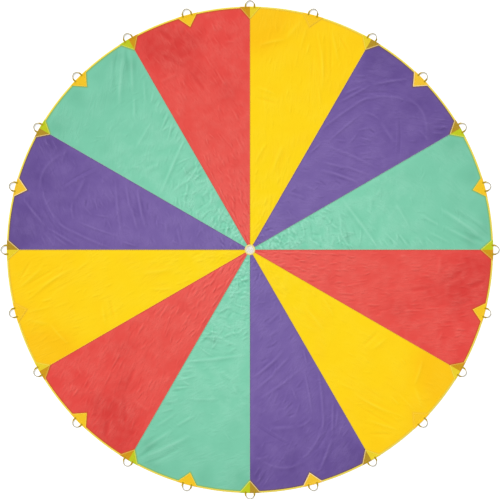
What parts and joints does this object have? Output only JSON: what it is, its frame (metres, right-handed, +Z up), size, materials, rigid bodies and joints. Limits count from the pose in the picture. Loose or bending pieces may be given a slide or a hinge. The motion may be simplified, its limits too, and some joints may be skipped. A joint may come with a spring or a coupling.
{
  "type": "play parachute",
  "caption": "Round play parachute laid flat: sewn gores in four repeating colours, bound rim with webbing hand loops on folded patches, and a netted vent in the middle.",
  "frame": {"origin": "on the floor, under the middle of the vent", "axes": "+Z up, out of the canopy's upper side. +Y towards twelve o'clock, where a seam between a red and a yellow gore meets the rim, and +X towards three o'clock, seen from above"},
  "size_m": [6.1564, 6.1564, 0.0193],
  "materials": {
    "gore_yellow": "matte",
    "gore_purple": "matte",
    "gore_mint": "matte",
    "gore_red": "matte",
    "binding_yellow": "matte",
    "patch_yellow": "matte",
    "webbing_khaki": "matte",
    "ring_cream": "matte",
    "net_white": "matte"
  },
  "bodies": {
    "canopy": {"gore_01": "gore_yellow", "gore_02": "gore_purple", "gore_03": "gore_mint", "gore_04": "gore_red", "gore_05": "gore_yellow", "gore_06": "gore_purple", "gore_07": "gore_mint", "gore_08": "gore_red", "gore_09": "gore_yellow", "gore_10": "gore_purple", "gore_11": "gore_mint", "gore_12": "gore_red", "seam_patch_01": "patch_yellow", "seam_patch_02": "patch_yellow", "seam_patch_03": "patch_yellow", "seam_patch_04": "patch_yellow", "seam_patch_05": "patch_yellow", "seam_patch_06": "patch_yellow", "seam_patch_07": "patch_yellow", "seam_patch_08": "patch_yellow", "seam_patch_09": "patch_yellow", "seam_patch_10": "patch_yellow", "seam_patch_11": "patch_yellow", "seam_patch_12": "patch_yellow", "rim_binding": "binding_yellow", "vent_ring_top": "ring_cream", "vent_ring_bottom": "ring_cream", "vent_net": "net_white"},
    "loop_01": {"handle_01": "webbing_khaki"},
    "loop_02": {"handle_02": "webbing_khaki"},
    "loop_03": {"handle_03": "webbing_khaki"},
    "loop_04": {"handle_04": "webbing_khaki"},
    "loop_05": {"handle_05": "webbing_khaki"},
    "loop_06": {"handle_06": "webbing_khaki"},
    "loop_07": {"handle_07": "webbing_khaki"},
    "loop_08": {"handle_08": "webbing_khaki"},
    "loop_09": {"handle_09": "webbing_khaki"},
    "loop_10": {"handle_10": "webbing_khaki"},
    "loop_11": {"handle_11": "webbing_khaki"},
    "loop_12": {"handle_12": "webbing_khaki"},
    "loop_13": {"handle_13": "webbing_khaki"},
    "loop_14": {"handle_14": "webbing_khaki"},
    "loop_15": {"handle_15": "webbing_khaki"},
    "loop_16": {"handle_16": "webbing_khaki"},
    "loop_17": {"handle_17": "webbing_khaki"},
    "loop_18": {"handle_18": "webbing_khaki"},
    "loop_19": {"handle_19": "webbing_khaki"},
    "loop_20": {"handle_20": "webbing_khaki"},
    "loop_21": {"handle_21": "webbing_khaki"},
    "loop_22": {"handle_22": "webbing_khaki"},
    "loop_23": {"handle_23": "webbing_khaki"},
    "loop_24": {"handle_24": "webbing_khaki"}
  },
  "joints": [
    {"name": "loop_01_fold", "type": "hinge", "parent": "canopy", "child": "loop_01", "pos_m": [0, 3.0021, 0.006], "axis": [1, 0, 0], "range_deg": [-90, 150]},
    {"name": "loop_02_fold", "type": "hinge", "parent": "canopy", "child": "loop_02", "pos_m": [0.777, 2.89981, 0.006], "axis": [0.9659, -0.2588, 0], "range_deg": [-90, 150]},
    {"name": "loop_03_fold", "type": "hinge", "parent": "canopy", "child": "loop_03", "pos_m": [1.50105, 2.5999, 0.006], "axis": [0.866, -0.5, 0], "range_deg": [-90, 150]},
    {"name": "loop_04_fold", "type": "hinge", "parent": "canopy", "child": "loop_04", "pos_m": [2.12281, 2.12281, 0.006], "axis": [0.7071, -0.7071, 0], "range_deg": [-90, 150]},
    {"name": "loop_05_fold", "type": "hinge", "parent": "canopy", "child": "loop_05", "pos_m": [2.5999, 1.50105, 0.006], "axis": [0.5, -0.866, 0], "range_deg": [-90, 150]},
    {"name": "loop_06_fold", "type": "hinge", "parent": "canopy", "child": "loop_06", "pos_m": [2.89981, 0.777, 0.006], "axis": [0.2588, -0.9659, 0], "range_deg": [-90, 150]},
    {"name": "loop_07_fold", "type": "hinge", "parent": "canopy", "child": "loop_07", "pos_m": [3.0021, 0, 0.006], "axis": [0, -1, 0], "range_deg": [-90, 150]},
    {"name": "loop_08_fold", "type": "hinge", "parent": "canopy", "child": "loop_08", "pos_m": [2.89981, -0.777, 0.006], "axis": [-0.2588, -0.9659, 0], "range_deg": [-90, 150]},
    {"name": "loop_09_fold", "type": "hinge", "parent": "canopy", "child": "loop_09", "pos_m": [2.5999, -1.50105, 0.006], "axis": [-0.5, -0.866, 0], "range_deg": [-90, 150]},
    {"name": "loop_10_fold", "type": "hinge", "parent": "canopy", "child": "loop_10", "pos_m": [2.12281, -2.12281, 0.006], "axis": [-0.7071, -0.7071, 0], "range_deg": [-90, 150]},
    {"name": "loop_11_fold", "type": "hinge", "parent": "canopy", "child": "loop_11", "pos_m": [1.50105, -2.5999, 0.006], "axis": [-0.866, -0.5, 0], "range_deg": [-90, 150]},
    {"name": "loop_12_fold", "type": "hinge", "parent": "canopy", "child": "loop_12", "pos_m": [0.777, -2.89981, 0.006], "axis": [-0.9659, -0.2588, 0], "range_deg": [-90, 150]},
    {"name": "loop_13_fold", "type": "hinge", "parent": "canopy", "child": "loop_13", "pos_m": [0, -3.0021, 0.006], "axis": [-1, 0, 0], "range_deg": [-90, 150]},
    {"name": "loop_14_fold", "type": "hinge", "parent": "canopy", "child": "loop_14", "pos_m": [-0.777, -2.89981, 0.006], "axis": [-0.9659, 0.2588, 0], "range_deg": [-90, 150]},
    {"name": "loop_15_fold", "type": "hinge", "parent": "canopy", "child": "loop_15", "pos_m": [-1.50105, -2.5999, 0.006], "axis": [-0.866, 0.5, 0], "range_deg": [-90, 150]},
    {"name": "loop_16_fold", "type": "hinge", "parent": "canopy", "child": "loop_16", "pos_m": [-2.12281, -2.12281, 0.006], "axis": [-0.7071, 0.7071, 0], "range_deg": [-90, 150]},
    {"name": "loop_17_fold", "type": "hinge", "parent": "canopy", "child": "loop_17", "pos_m": [-2.5999, -1.50105, 0.006], "axis": [-0.5, 0.866, 0], "range_deg": [-90, 150]},
    {"name": "loop_18_fold", "type": "hinge", "parent": "canopy", "child": "loop_18", "pos_m": [-2.89981, -0.777, 0.006], "axis": [-0.2588, 0.9659, 0], "range_deg": [-90, 150]},
    {"name": "loop_19_fold", "type": "hinge", "parent": "canopy", "child": "loop_19", "pos_m": [-3.0021, 0, 0.006], "axis": [0, 1, 0], "range_deg": [-90, 150]},
    {"name": "loop_20_fold", "type": "hinge", "parent": "canopy", "child": "loop_20", "pos_m": [-2.89981, 0.777, 0.006], "axis": [0.2588, 0.9659, 0], "range_deg": [-90, 150]},
    {"name": "loop_21_fold", "type": "hinge", "parent": "canopy", "child": "loop_21", "pos_m": [-2.5999, 1.50105, 0.006], "axis": [0.5, 0.866, 0], "range_deg": [-90, 150]},
    {"name": "loop_22_fold", "type": "hinge", "parent": "canopy", "child": "loop_22", "pos_m": [-2.12281, 2.12281, 0.006], "axis": [0.7071, 0.7071, 0], "range_deg": [-90, 150]},
    {"name": "loop_23_fold", "type": "hinge", "parent": "canopy", "child": "loop_23", "pos_m": [-1.50105, 2.5999, 0.006], "axis": [0.866, 0.5, 0], "range_deg": [-90, 150]},
    {"name": "loop_24_fold", "type": "hinge", "parent": "canopy", "child": "loop_24", "pos_m": [-0.777, 2.89981, 0.006], "axis": [0.9659, 0.2588, 0], "range_deg": [-90, 150]}
  ]
}
